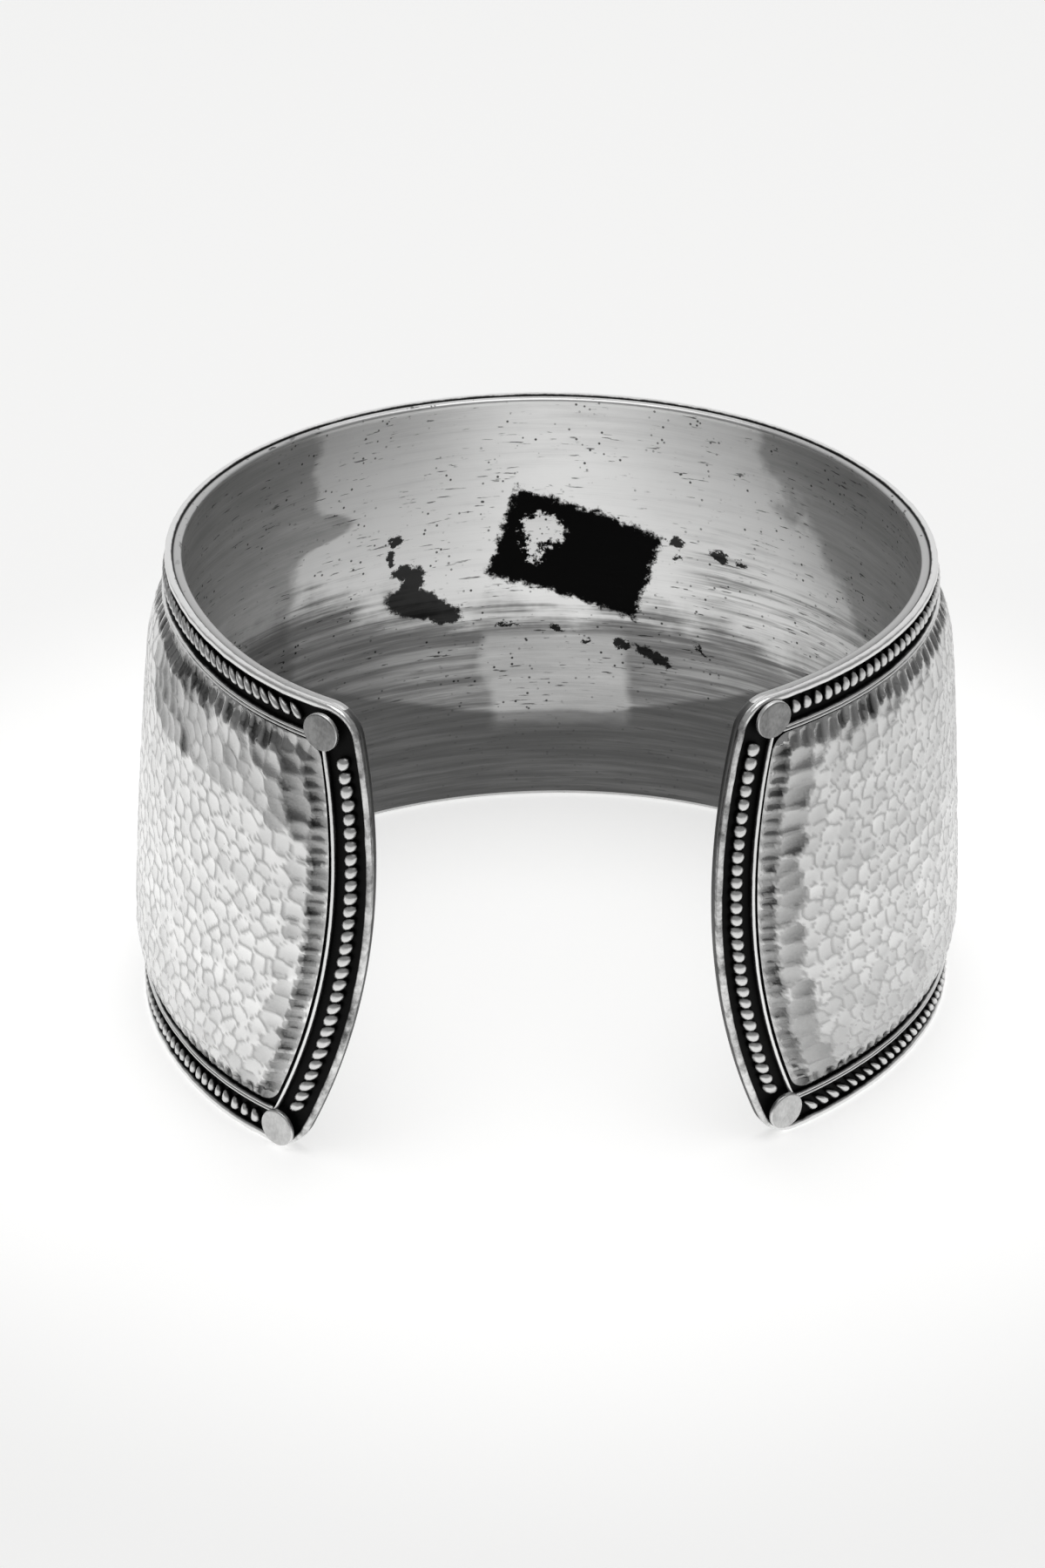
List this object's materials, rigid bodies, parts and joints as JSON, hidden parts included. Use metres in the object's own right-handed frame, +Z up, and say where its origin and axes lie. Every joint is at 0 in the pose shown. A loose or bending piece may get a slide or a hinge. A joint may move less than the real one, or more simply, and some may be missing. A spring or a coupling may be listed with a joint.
{
  "type": "cuff bracelet",
  "caption": "Wide open cuff bracelet with a plain inside, a domed hammered outer panel, beaded borders and flat corner studs.",
  "frame": {"origin": "under the middle of the cuff's box, on the surface that its lower rim stands on", "axes": "+Z up along the wrist, +X to the right with the gap between the ends facing -Y"},
  "size_m": [0.0682, 0.0618, 0.0394],
  "materials": {
    "band_silver": "worn satin silver with dark tarnish patches inside and a blackened channel outside",
    "hammered_silver": "bright hammered silver with dark tool marks along its edges",
    "bead_silver": "bead tops polished by wear, blackened between",
    "disc_silver": "satin face with a bright bevelled edge"
  },
  "bodies": {
    "root": {"band": "band_silver", "hammered_panel": "hammered_silver", "upper_beading": "bead_silver", "lower_beading": "bead_silver", "left_end_beading": "bead_silver", "right_end_beading": "bead_silver", "upper_left_disc": "disc_silver", "upper_right_disc": "disc_silver", "lower_left_disc": "disc_silver", "lower_right_disc": "disc_silver"}
  },
  "joints": []
}
